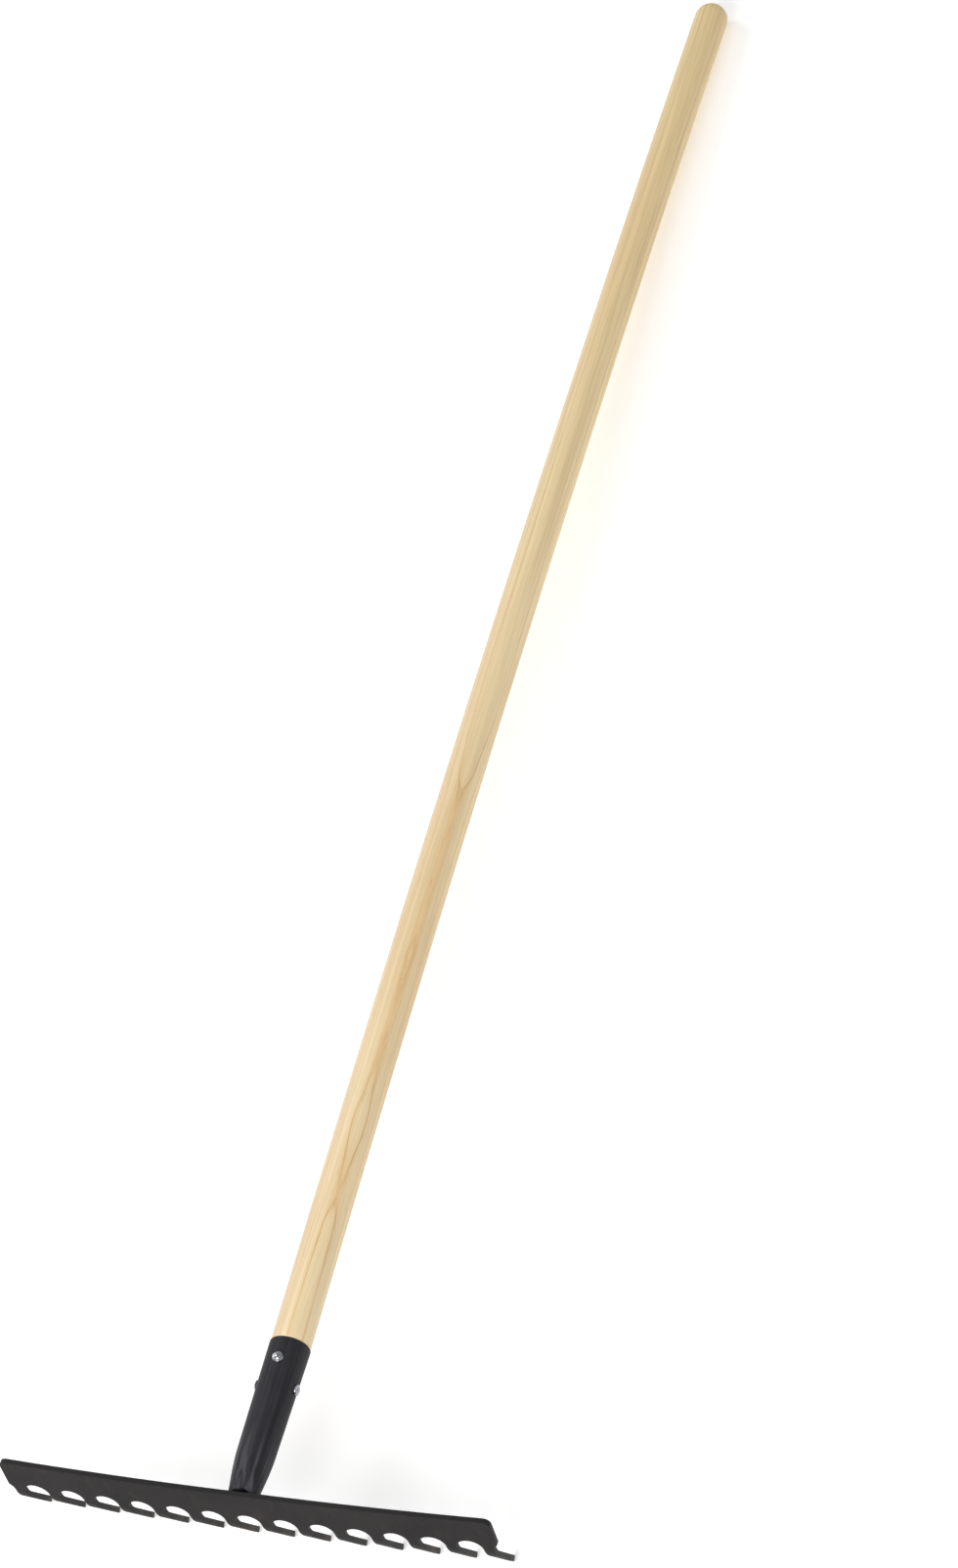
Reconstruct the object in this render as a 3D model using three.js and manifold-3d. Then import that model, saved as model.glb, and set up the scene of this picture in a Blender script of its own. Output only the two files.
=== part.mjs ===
// Level-head garden rake: a round ash handle in a riveted steel socket, welded to a pressed 14-tooth head.
// Millimetres, +Z up. The rake lies on its tooth tips and the end of its handle, teeth down,
// with the head along X and the handle running along +Y.
import * as THREE from 'three';
import { mergeVertices } from 'three/addons/utils/BufferGeometryUtils.js';
import Module from 'manifold-3d';

const wasm = await Module();
wasm.setup();

// Driving dimensions, in the tool's own frame: Y along the handle's axis with 0 at the head plate,
// X along the head, Z up.
const gap = 0.3;

const toothCount = 14;
const toothPitch = 26;
const toothRootWidth = 7.5;
const toothShoulderWidth = 4.8;
const toothPointWidth = 1.4;
const toothPointLength = 4.2;

const plateThickness = 4;
const plateHalfWidth = 175.8;
const plateCornerRadius = 6;
const plateAboveAxis = 9.9;
const plateToCrown = 23.7;
const crownToFold = 14.8;
const foldToTip = 45.2;
const foldRadius = 20;
const plateLean = THREE.MathUtils.degToRad(84.6);
const toothLean = THREE.MathUtils.degToRad(112.4);
const headBow = 3;
const headFlatHalf = 20;
const headSteps = 28;
const bendSteps = 8;
const crownSteps = 12;
const cornerSteps = 6;

const socketLength = 115.8;
const mouthRadius = 14.4;
const socketEndRadius = 13.2;
const socketWall = 1.7;
const neckStart = 36;
const neckHalfWidth = 10.2;
const neckHalfHeight = 7.4;
const neckFullness = 0.6;
const neckFlute = 1.5;
const fluteSharpness = 8;
const neckNotchDepth = 5;
const neckNotchRadius = 9.5;
const neckNotchFloor = 3;
const neckNotchRodLength = 12;
const socketSides = 48;
const neckRows = 9;

const handleRadius = 14;
const handleLength = 1410;
const handleSweep = 6;
const tangLength = 58;
const tangEndRadius = 11.3;
const tangRadius = 12.4;
const tangChamfer = 1;
const handleSides = 40;
const handleRows = 24;
const gripSteps = 7;

const rivetRadius = 2.4;
const rivetHeadRadius = 3.9;
const rivetHeadHeight = 2;
const topRivetFromMouth = 16;
const sideRivetFromMouth = 31.8;
const rivetHoleLength = 60;
const rivetSides = 24;
const rivetDomeSteps = 6;

const weldWidth = 3;
const weldStart = THREE.MathUtils.degToRad(158);
const weldEnd = THREE.MathUtils.degToRad(382);
const weldHollow = 0.92;
const weldWobble = 0.08;
const weldWobbles = 9;
const weldSteps = 28;
const weldFilletSteps = 4;

// Cutting tools reach this far past what they cut.
const cutterLow = -40;
const cutterHigh = 50;
const cutterMargin = 20;
const mergeDistance = 1e-4;

const steelPaint = { color: 0x232323, roughness: 0.45, metalness: 0.3 };
const wood = { color: 0xdfc48f, roughness: 0.5, metalness: 0 };
const zinc = { color: 0xb9bcc0, roughness: 0.35, metalness: 0.9 };

// Boolean helpers.
function toSolid(geometry) {
  const bare = geometry.clone();
  bare.deleteAttribute('normal');
  bare.deleteAttribute('uv');
  const merged = mergeVertices(bare, mergeDistance);
  return new wasm.Manifold(new wasm.Mesh({
    numProp: 3,
    vertProperties: merged.attributes.position.array,
    triVerts: new Uint32Array(merged.index.array),
  }));
}

function toGeometry(solid) {
  const mesh = solid.getMesh();
  const geometry = new THREE.BufferGeometry();
  geometry.setAttribute('position', new THREE.BufferAttribute(mesh.vertProperties, 3));
  geometry.setIndex(new THREE.BufferAttribute(mesh.triVerts, 1));
  geometry.computeVertexNormals();
  return geometry;
}

function cut(base, tools) {
  let solid = toSolid(base);
  for (const tool of tools) solid = solid.subtract(toSolid(tool));
  return toGeometry(solid);
}

function displace(geometry, move) {
  const position = geometry.attributes.position;
  const point = new THREE.Vector3();
  for (let i = 0; i < position.count; i += 1) {
    point.fromBufferAttribute(position, i);
    move(point);
    position.setXYZ(i, point.x, point.y, point.z);
  }
  return geometry;
}

// A cutting tool: an outline drawn in the XZ plane, extruded along Y right through the sheet.
function cutterThrough(shape, curveSegments) {
  const depth = cutterHigh - cutterLow;
  const geometry = new THREE.ExtrudeGeometry(shape, { depth, bevelEnabled: false, curveSegments });
  geometry.rotateX(Math.PI / 2);
  geometry.translate(0, cutterHigh, 0);
  return geometry;
}

function rodAlong(axis, radius, length, centre, sides = 24) {
  const rod = new THREE.CylinderGeometry(radius, radius, length, sides);
  if (axis === 'x') rod.rotateZ(Math.PI / 2);
  if (axis === 'z') rod.rotateX(Math.PI / 2);
  return rod.translate(centre.x, centre.y, centre.z);
}

// Head: side section of the bent sheet, as (y, z) points.
const plateDown = new THREE.Vector2(-Math.cos(plateLean), -Math.sin(plateLean));
const toothDown = new THREE.Vector2(-Math.cos(toothLean), -Math.sin(toothLean));
const plateOut = new THREE.Vector2(-Math.sin(plateLean), Math.cos(plateLean));
const toothOut = new THREE.Vector2(-Math.sin(toothLean), Math.cos(toothLean));
const backEdge = plateDown.clone().multiplyScalar(-plateAboveAxis);
const outerBackEdge = backEdge.clone().addScaledVector(plateOut, plateThickness);
const outerFold = outerBackEdge.clone().addScaledVector(plateDown, plateToCrown + crownToFold);
const outerTip = outerFold.clone().addScaledVector(toothDown, foldToTip);
const innerTip = outerTip.clone().addScaledVector(toothOut, -plateThickness);
const crownHeight = outerBackEdge.y + plateDown.y * plateToCrown;

// Points of a bend of the given radius around a corner, from one straight to the next.
function bend(corner, from, to, radius) {
  const half = from.angleTo(to) / 2;
  const reach = radius * Math.tan(half);
  const start = corner.clone().addScaledVector(from, -reach);
  const end = corner.clone().addScaledVector(to, reach);
  const curve = new THREE.QuadraticBezierCurve(start, corner, end);
  return curve.getPoints(bendSteps);
}

function headSection() {
  const sheet = outerFold.clone().sub(outerBackEdge);
  const innerFold = backEdge.clone().add(sheet);
  const foldShift = plateThickness * Math.tan((toothLean - plateLean) / 2);
  innerFold.addScaledVector(plateDown, -foldShift);
  const outerBend = bend(outerFold, plateDown, toothDown, foldRadius + plateThickness);
  const innerBend = bend(innerFold, plateDown, toothDown, foldRadius).reverse();
  return new THREE.Shape([outerBackEdge, ...outerBend, outerTip, innerTip, ...innerBend, backEdge]);
}

function bowAt(x) {
  const beyond = Math.max(0, Math.abs(x) - headFlatHalf) / (plateHalfWidth - headFlatHalf);
  return headBow * beyond ** 2;
}

function headBlank() {
  const halfLength = plateHalfWidth + 1;
  const blank = new THREE.ExtrudeGeometry(headSection(), {
    depth: 2 * halfLength, bevelEnabled: false, steps: headSteps,
  });
  // The section's (y, z) plane turned so that the extrusion runs along X.
  const turn = new THREE.Matrix4().makeBasis(
    new THREE.Vector3(0, 1, 0), new THREE.Vector3(0, 0, 1), new THREE.Vector3(1, 0, 0),
  );
  blank.applyMatrix4(turn);
  blank.translate(-halfLength, 0, 0);
  return displace(blank, (p) => { p.y += bowAt(p.x); });
}

// Outline of the opening between two teeth: a round crown, tapering teeth and their points.
function toothGapShape(x) {
  const crownRadius = (toothPitch - toothRootWidth) / 2;
  const springing = crownHeight - crownRadius;
  const tipHeight = outerTip.y;
  const shoulder = tipHeight + toothPointLength;
  const shoulderHalf = (toothPitch - toothShoulderWidth) / 2;
  const pointHalf = (toothPitch - toothPointWidth) / 2;
  const shape = new THREE.Shape();
  shape.moveTo(x + pointHalf, tipHeight - cutterMargin);
  shape.lineTo(x + pointHalf, tipHeight);
  shape.lineTo(x + shoulderHalf, shoulder);
  shape.lineTo(x + crownRadius, springing);
  shape.absarc(x, springing, crownRadius, 0, Math.PI, false);
  shape.lineTo(x - shoulderHalf, shoulder);
  shape.lineTo(x - pointHalf, tipHeight);
  shape.lineTo(x - pointHalf, tipHeight - cutterMargin);
  return shape;
}

// Everything beyond one end of the plate, with the rounded back corner.
function plateEndShape(side) {
  const top = outerBackEdge.y;
  const above = top + cutterMargin;
  const below = outerTip.y - cutterMargin;
  const far = plateHalfWidth + cutterMargin;
  const shape = new THREE.Shape();
  const corner = plateHalfWidth - plateCornerRadius;
  shape.moveTo(side * corner, above);
  shape.lineTo(side * corner, top);
  shape.quadraticCurveTo(side * plateHalfWidth, top, side * plateHalfWidth, top - plateCornerRadius);
  shape.lineTo(side * plateHalfWidth, below);
  shape.lineTo(side * far, below);
  shape.lineTo(side * far, above);
  return shape;
}

function makeHead() {
  const gapCount = toothCount - 1;
  const tools = [];
  for (let i = -1; i <= gapCount; i += 1) {
    const x = (i - (gapCount - 1) / 2) * toothPitch;
    tools.push(cutterThrough(toothGapShape(x), crownSteps));
  }
  for (const side of [-1, 1]) tools.push(cutterThrough(plateEndShape(side), cornerSteps));
  return cut(headBlank(), tools);
}

// How far behind the axis crossing the plate's inner face lies at a given height.
function plateFaceAt(z) {
  return (z * plateDown.x) / plateDown.y;
}

// Socket: a closed tube lofted through rings that go from round to a fluted oval neck,
// with its end cut to the lean of the plate.
function neckBlend(y) {
  const t = THREE.MathUtils.clamp(1 - y / neckStart, 0, 1);
  return t * t * (1 + neckFullness * (1 - t));
}

function socketRadiusAt(y) {
  const t = THREE.MathUtils.clamp((y - neckStart) / (socketLength - neckStart), 0, 1);
  return THREE.MathUtils.lerp(socketEndRadius, mouthRadius, t);
}

function socketPoint(y, angle, inset) {
  const t = neckBlend(y);
  const radius = socketRadiusAt(y);
  const halfWidth = THREE.MathUtils.lerp(radius, neckHalfWidth, t) - inset;
  const halfHeight = THREE.MathUtils.lerp(radius, neckHalfHeight, t) - inset;
  const flute = neckFlute * t * Math.max(0, Math.sin(angle)) ** fluteSharpness;
  const z = halfHeight * Math.sin(angle) - flute;
  return new THREE.Vector3(halfWidth * Math.cos(angle), y + t * plateFaceAt(z), z);
}

function loft(rings) {
  const sides = rings[0].length;
  const points = rings.flat();
  const index = [];
  for (let r = 0; r < rings.length; r += 1) {
    const next = (r + 1) % rings.length;
    for (let s = 0; s < sides; s += 1) {
      const s2 = (s + 1) % sides;
      const a = r * sides + s;
      const b = r * sides + s2;
      const c = next * sides + s2;
      const d = next * sides + s;
      index.push(a, c, b, a, d, c);
    }
  }
  const geometry = new THREE.BufferGeometry().setFromPoints(points);
  geometry.setIndex(index);
  geometry.computeVertexNormals();
  return geometry;
}

function socketRing(y, inset) {
  const ring = [];
  for (let s = 0; s < socketSides; s += 1) ring.push(socketPoint(y, (2 * Math.PI * s) / socketSides, inset));
  return ring;
}

function makeSocket() {
  const heights = [];
  for (let i = 0; i < neckRows; i += 1) heights.push(gap + ((neckStart - gap) * i) / (neckRows - 1));
  heights.push(socketLength);
  const outer = heights.map((y) => socketRing(y, 0));
  const inner = heights.map((y) => socketRing(y, socketWall)).reverse();
  const tube = loft([...outer, ...inner]);
  const notchHeight = neckNotchFloor + neckNotchRodLength / 2;
  const notchCentre = new THREE.Vector3(0, neckNotchDepth - neckNotchRadius, notchHeight);
  const notch = rodAlong('z', neckNotchRadius, neckNotchRodLength, notchCentre);
  return cut(tube, [notch, ...rivetHoles()]);
}

// Rivet stations along the handle.
const topRivetY = socketLength - topRivetFromMouth;
const sideRivetY = socketLength - sideRivetFromMouth;

function rivetHoles() {
  const radius = rivetRadius + gap;
  return [
    rodAlong('z', radius, rivetHoleLength, new THREE.Vector3(0, topRivetY, 0)),
    rodAlong('x', radius, rivetHoleLength, new THREE.Vector3(0, sideRivetY, 0)),
  ];
}

// A through rivet with a domed head on each end, turned about its own Y axis.
function rivetGeometry(stationY) {
  const seat = socketRadiusAt(stationY) + gap;
  const profile = [new THREE.Vector2(0, -seat - rivetHeadHeight)];
  for (let i = 1; i <= rivetDomeSteps; i += 1) {
    const a = (Math.PI / 2) * (i / rivetDomeSteps);
    const height = seat + rivetHeadHeight * Math.cos(a);
    profile.push(new THREE.Vector2(rivetHeadRadius * Math.sin(a), -height));
  }
  profile.push(new THREE.Vector2(rivetRadius, -seat));
  const mirrored = profile.map((p) => new THREE.Vector2(p.x, -p.y)).reverse();
  return new THREE.LatheGeometry([...profile, ...mirrored], rivetSides);
}

function makeTopRivet() {
  return rivetGeometry(topRivetY).rotateX(Math.PI / 2).translate(0, topRivetY, 0);
}

function makeSideRivet() {
  return rivetGeometry(sideRivetY).rotateZ(-Math.PI / 2).translate(0, sideRivetY, 0);
}

// Handle: turned from the tang inside the socket to the domed grip end, with a slight natural sweep.
function makeHandle() {
  const tangStart = socketLength - tangLength;
  const shoulder = socketLength + gap;
  const domeCentre = handleLength - handleRadius;
  const profile = [
    new THREE.Vector2(0, tangStart),
    new THREE.Vector2(tangEndRadius - tangChamfer, tangStart),
    new THREE.Vector2(tangEndRadius, tangStart + tangChamfer),
    new THREE.Vector2(tangRadius, shoulder),
    new THREE.Vector2(handleRadius, shoulder),
  ];
  for (let i = 1; i <= handleRows; i += 1) {
    const y = THREE.MathUtils.lerp(shoulder, domeCentre, i / handleRows);
    profile.push(new THREE.Vector2(handleRadius, y));
  }
  for (let i = 1; i <= gripSteps; i += 1) {
    const a = (Math.PI / 2) * (i / gripSteps);
    const radius = i === gripSteps ? 0 : handleRadius * Math.cos(a);
    profile.push(new THREE.Vector2(radius, domeCentre + handleRadius * Math.sin(a)));
  }
  const turned = new THREE.LatheGeometry(profile, handleSides);
  const drilled = cut(turned, rivetHoles());
  return displace(drilled, (p) => {
    const t = THREE.MathUtils.clamp((p.y - shoulder) / (handleLength - shoulder), 0, 1);
    p.x -= handleSweep * 4 * t * (1 - t);
  });
}

// Weld bead: a rounded fillet around the sides and underside of the neck, against the plate.
function makeWeld() {
  const rings = [];
  for (let i = 0; i <= weldSteps; i += 1) {
    const angle = THREE.MathUtils.lerp(weldStart, weldEnd, i / weldSteps);
    const outward = new THREE.Vector3(Math.cos(angle), 0, Math.sin(angle));
    const neck = socketPoint(weldWidth, angle, 0);
    const wobble = 1 + weldWobble * Math.sin(angle * weldWobbles);
    const width = weldWidth * wobble;
    const ring = [];
    const root = neck.clone().addScaledVector(outward, gap);
    const toe = neck.clone().addScaledVector(outward, gap + width);
    ring.push(new THREE.Vector3(root.x, gap + plateFaceAt(root.z), root.z));
    ring.push(new THREE.Vector3(toe.x, gap + plateFaceAt(toe.z), toe.z));
    for (let k = 1; k <= weldFilletSteps; k += 1) {
      const a = (Math.PI / 2) * (k / weldFilletSteps);
      const reach = gap + width * (1 - weldHollow * Math.sin(a));
      const point = neck.clone().addScaledVector(outward, reach);
      const rise = width * (1 - weldHollow * Math.cos(a));
      ring.push(new THREE.Vector3(point.x, gap + plateFaceAt(point.z) + rise, point.z));
    }
    rings.push(ring);
  }
  return capLoft(rings);
}

// A loft that is closed with a flat fan at each end.
function capLoft(rings) {
  const sides = rings[0].length;
  const index = [];
  for (let r = 0; r < rings.length - 1; r += 1) {
    for (let s = 0; s < sides; s += 1) {
      const s2 = (s + 1) % sides;
      const a = r * sides + s;
      const b = r * sides + s2;
      const c = (r + 1) * sides + s2;
      const d = (r + 1) * sides + s;
      index.push(a, b, c, a, c, d);
    }
  }
  const last = (rings.length - 1) * sides;
  for (let s = 1; s < sides - 1; s += 1) {
    index.push(0, s + 1, s);
    index.push(last, last + s, last + s + 1);
  }
  const geometry = new THREE.BufferGeometry().setFromPoints(rings.flat());
  geometry.setIndex(index);
  geometry.computeVertexNormals();
  return geometry;
}

// Resting pose: the tool is tipped about X until its tips and the end of its handle meet the ground.
const domeCentreY = handleLength - handleRadius;
const restTilt = Math.atan2(-handleRadius - outerTip.y, domeCentreY - outerTip.x);
const rake = new THREE.Group();
const tool = new THREE.Group();
tool.rotation.x = -restTilt;
rake.add(tool);

function addPart(name, geometry, look) {
  const mesh = new THREE.Mesh(geometry, new THREE.MeshStandardMaterial(look));
  mesh.name = name;
  tool.add(mesh);
}

addPart('handle', makeHandle(), wood);
addPart('socket', makeSocket(), steelPaint);
addPart('rake_head', makeHead(), steelPaint);
addPart('weld_bead', makeWeld(), steelPaint);
addPart('top_rivet', makeTopRivet(), zinc);
addPart('side_rivet', makeSideRivet(), zinc);

// Origin at the bottom centre of the whole rake's box.
const box = new THREE.Box3().setFromObject(rake, true);
const middle = box.getCenter(new THREE.Vector3());
tool.position.set(-middle.x, -middle.y, -box.min.z);

export default rake;
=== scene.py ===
import math
import bmesh
import bpy
from mathutils import Matrix, Vector


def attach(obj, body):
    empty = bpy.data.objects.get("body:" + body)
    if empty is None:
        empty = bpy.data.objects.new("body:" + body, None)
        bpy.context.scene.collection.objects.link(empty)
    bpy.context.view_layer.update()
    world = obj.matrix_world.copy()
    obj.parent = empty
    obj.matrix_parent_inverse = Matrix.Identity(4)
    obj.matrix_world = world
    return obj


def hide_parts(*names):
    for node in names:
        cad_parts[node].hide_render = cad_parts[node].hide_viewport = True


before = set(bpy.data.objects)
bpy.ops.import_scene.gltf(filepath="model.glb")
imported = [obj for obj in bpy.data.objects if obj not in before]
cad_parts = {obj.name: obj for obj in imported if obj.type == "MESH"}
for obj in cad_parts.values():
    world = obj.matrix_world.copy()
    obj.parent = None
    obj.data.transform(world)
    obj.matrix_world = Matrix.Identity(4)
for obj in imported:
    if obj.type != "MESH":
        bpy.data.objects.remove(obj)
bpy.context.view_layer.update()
print("frame loaded:", ", ".join(sorted(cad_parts)))

# The tool's own frame, as in the CAD: Y along the handle from the plate, X along the head, Z up, in mm.
rest = {
    "tilt": -2.30994,  # degrees
    "origin": (0.0, -0.700815, 0.070366),  # metres
}
toolToWorld = Matrix.Translation(rest["origin"]) @ Matrix.Rotation(math.radians(rest["tilt"]), 4, "X")
clearance = 0.3  # between touching pieces, in mm
mergeDistance = 0.000002  # metres


def lerp(a, b, t):
    return a + (b - a) * t


def clamp01(t):
    return max(0.0, min(1.0, t))


def smoothRise(t):
    t = clamp01(t)
    return t * t * (3 - 2 * t)


# Angles of a quarter turn, from 0 to 90 degrees.
def quarterTurn(steps):
    return [math.radians(90 * step / steps) for step in range(steps + 1)]


# 0 to 255 display values to the linear ones that shaders take.
def colour(tint):
    return (*[c / 255 / 12.92 if c <= 10 else ((c / 255 + 0.055) / 1.055) ** 2.4 for c in tint], 1.0)


def grey(level):
    return (level, level, level, 1.0)


# Shader maths: a wrapped socket takes part in Python expressions.
class Signal:
    def __init__(self, finish, socket):
        self.finish = finish
        self.socket = socket

    def maths(self, operation, first, second=0.0):
        return self.finish.add("ShaderNodeMath", {"operation": operation}, {0: first, 1: second})

    def __add__(self, other):
        return self.maths("ADD", self, other)

    __radd__ = __add__

    def __sub__(self, other):
        return self.maths("SUBTRACT", self, other)

    def __rsub__(self, other):
        return self.maths("SUBTRACT", other, self)

    def __mul__(self, other):
        return self.maths("MULTIPLY", self, other)

    __rmul__ = __mul__

    def __truediv__(self, other):
        return self.maths("DIVIDE", self, other)

    def __rtruediv__(self, other):
        return self.maths("DIVIDE", other, self)

    def __pow__(self, other):
        return self.maths("POWER", self, other)

    def __rpow__(self, other):
        return self.maths("POWER", other, self)

    def root(self):
        return self.maths("SQRT", self)

    def fraction(self):
        return self.maths("FRACT", self)

    def size(self):
        return self.maths("ABSOLUTE", self)


# One material under construction. Its noise layers are dictionaries: scale per metre along X, Y and Z,
# detail, shift, the range of noise that shows, and the strength and tint it shows with.
class Finish:
    def __init__(self, name):
        self.material = bpy.data.materials.new(name)
        self.material.use_nodes = True
        self.tree = self.material.node_tree
        self.tree.nodes.clear()
        where = self.add("ShaderNodeTexCoord", out="Object")
        turn = (math.radians(rest["tilt"]), 0, 0)
        sockets = {"Vector": where, "Location": rest["origin"], "Rotation": turn}
        self.place = self.add("ShaderNodeMapping", {"vector_type": "TEXTURE"}, sockets)

    def add(self, kind, settings=None, sockets=None, out=0):
        node = self.tree.nodes.new(kind)
        for key, value in (settings or {}).items():
            if key == "stops":
                self.setStops(node.color_ramp, value)
            elif key == "easing":
                node.color_ramp.interpolation = value
            else:
                setattr(node, key, value)
        for key, value in (sockets or {}).items():
            if isinstance(value, Signal):
                self.tree.links.new(value.socket, node.inputs[key])
            else:
                node.inputs[key].default_value = value
        return Signal(self, node.outputs[out]) if node.outputs else None

    def setStops(self, ramp, stops):
        while len(ramp.elements) < len(stops):
            ramp.elements.new(0.5)
        for element, (position, tint) in zip(ramp.elements, stops):
            element.position = position
            element.color = tint

    # a coordinate in the tool's frame, in mm
    def axis(self, name):
        return self.add("ShaderNodeSeparateXYZ", sockets={0: self.place}, out=name) * 1000

    def noise(self, layer):
        stretch = {0: self.place, 1: layer["scale"], 2: layer.get("shift", (0, 0, 0))}
        place = self.add("ShaderNodeVectorMath", {"operation": "MULTIPLY_ADD"}, stretch)
        sockets = {"Vector": place, "Scale": 1.0, "Detail": layer["detail"]}
        return self.add("ShaderNodeTexNoise", sockets=sockets)

    def between(self, value, low, high):
        sockets = {"Value": value, "From Min": low, "From Max": high}
        return self.add("ShaderNodeMapRange", {"interpolation_type": "SMOOTHSTEP"}, sockets)

    def patches(self, layer, noise=None):
        return self.between(noise or self.noise(layer), *layer["range"])

    def ramp(self, value, stops, easing="LINEAR"):
        return self.add("ShaderNodeValToRGB", {"stops": stops, "easing": easing}, {0: value})

    def mix(self, factor, first, second):
        return self.add("ShaderNodeMix", {"data_type": "RGBA"}, {0: factor, 6: first, 7: second}, out=2)

    def laid(self, base, layer, noise=None):
        return self.mix(self.patches(layer, noise) * layer["strength"], base, colour(layer["tint"]))

    def bump(self, height, strength, distance):
        sockets = {"Height": height, "Strength": strength, "Distance": distance}
        return self.add("ShaderNodeBump", sockets=sockets)

    def finishWith(self, sockets):
        shader = self.add("ShaderNodeBsdfPrincipled", sockets=sockets)
        self.add("ShaderNodeOutputMaterial", sockets={"Surface": shader})
        return self.material


# Pieces are drawn in the tool's frame in mm, and their points laid down in the world in metres.
def placed(point):
    return toolToWorld @ (Vector(point) * 0.001)


# Turns every face of a closed mesh outwards.
def faceOutwards(made):
    bmesh.ops.recalc_face_normals(made, faces=made.faces)
    if made.calc_volume(signed=True) < 0:
        bmesh.ops.reverse_faces(made, faces=made.faces)


# A mesh with coincident points joined and every face turned outwards.
def meshFrom(name, points, faces):
    mesh = bpy.data.meshes.new(name)
    mesh.from_pydata([placed(p) for p in points], [], faces)
    mesh.validate()
    made = bmesh.new()
    made.from_mesh(mesh)
    bmesh.ops.remove_doubles(made, verts=made.verts, dist=mergeDistance)
    faceOutwards(made)
    made.to_mesh(mesh)
    made.free()
    return mesh


def makePiece(name, mesh, material, node):
    mesh.shade_smooth()
    mesh.materials.append(material)
    piece = bpy.data.objects.new(name, mesh)
    bpy.context.scene.collection.objects.link(piece)
    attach(piece, "root")
    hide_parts(node)
    print("made", name, "with", len(mesh.vertices), "points")
    return piece


# Quads between rings of equal length, each ring closed on itself.
def ringFaces(rings, closed=False):
    sides = len(rings[0])
    faces = []
    for r in range(len(rings) if closed else len(rings) - 1):
        here = r * sides
        there = ((r + 1) % len(rings)) * sides
        for s in range(sides):
            after = (s + 1) % sides
            faces.append((here + s, here + after, there + after, there + s))
    return faces


# The faces that close the first and last ring.
def endFaces(rings):
    sides = len(rings[0])
    last = (len(rings) - 1) * sides
    return [tuple(reversed(range(sides))), tuple(range(last, last + sides))]


def joined(rings):
    return [point for ring in rings for point in ring]


# Handle: a turned ash pole with a tang in the socket, a domed grip end and a slight natural sweep.
handle = {
    "radius": 14.0,
    "length": 1409.98,
    "shoulder": 116.1,
    "sweep": 6.0,
    "tangStart": 57.8,
    "tangEndRadius": 11.3,
    "tangRadius": 12.4,
    "tangChamfer": 1.0,
    "edge": 0.7,
    "edgeSteps": 4,
    "sides": 96,
    "rowStep": 6.0,
    "domeSteps": 20,
    # shallow hand-sanded flats, and how they turn and come and go along the pole
    "sanding": 0.05,
    "flatTurn": 0.011,
    "flatSwell": 0.023,
    "flatCounterTurn": 0.017,
}


def handleProfile():
    h = handle
    edge, chamfer = h["edge"], h["tangChamfer"]
    profile = [
        (0.0, h["tangStart"]),
        (h["tangEndRadius"] - chamfer, h["tangStart"]),
        (h["tangEndRadius"], h["tangStart"] + chamfer),
        (h["tangRadius"], h["shoulder"]),
    ]
    for a in quarterTurn(h["edgeSteps"]):
        profile.append((h["radius"] - edge + edge * math.sin(a), h["shoulder"] + edge - edge * math.cos(a)))
    domeCentre = h["length"] - h["radius"]
    start = h["shoulder"] + edge
    rows = round((domeCentre - start) / h["rowStep"])
    for row in range(1, rows + 1):
        profile.append((h["radius"], start + (domeCentre - start) * row / rows))
    for a in quarterTurn(h["domeSteps"])[1:]:
        profile.append((h["radius"] * math.cos(a), domeCentre + h["radius"] * math.sin(a)))
    return profile


def sweepAt(y):
    t = clamp01((y - handle["shoulder"]) / (handle["length"] - handle["shoulder"]))
    return -handle["sweep"] * 4 * t * (1 - t)


def makeHandle(material):
    h = handle
    rings = []
    for radius, y in handleProfile():
        ring = []
        for side in range(h["sides"]):
            a = 2 * math.pi * side / h["sides"]
            flats = math.sin(2 * a + y * h["flatTurn"]) * math.sin(y * h["flatSwell"] + 1)
            flats += math.sin(3 * a - y * h["flatCounterTurn"])
            r = radius - h["sanding"] * (2 + flats) / 4 * min(1.0, radius / h["radius"])  # only ever inwards
            ring.append((r * math.cos(a) + sweepAt(y), y, r * math.sin(a)))
        rings.append(ring)
    mesh = meshFrom("handle_pole", joined(rings), ringFaces(rings) + endFaces(rings))
    makePiece("handle_pole", mesh, material, "handle")


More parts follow.
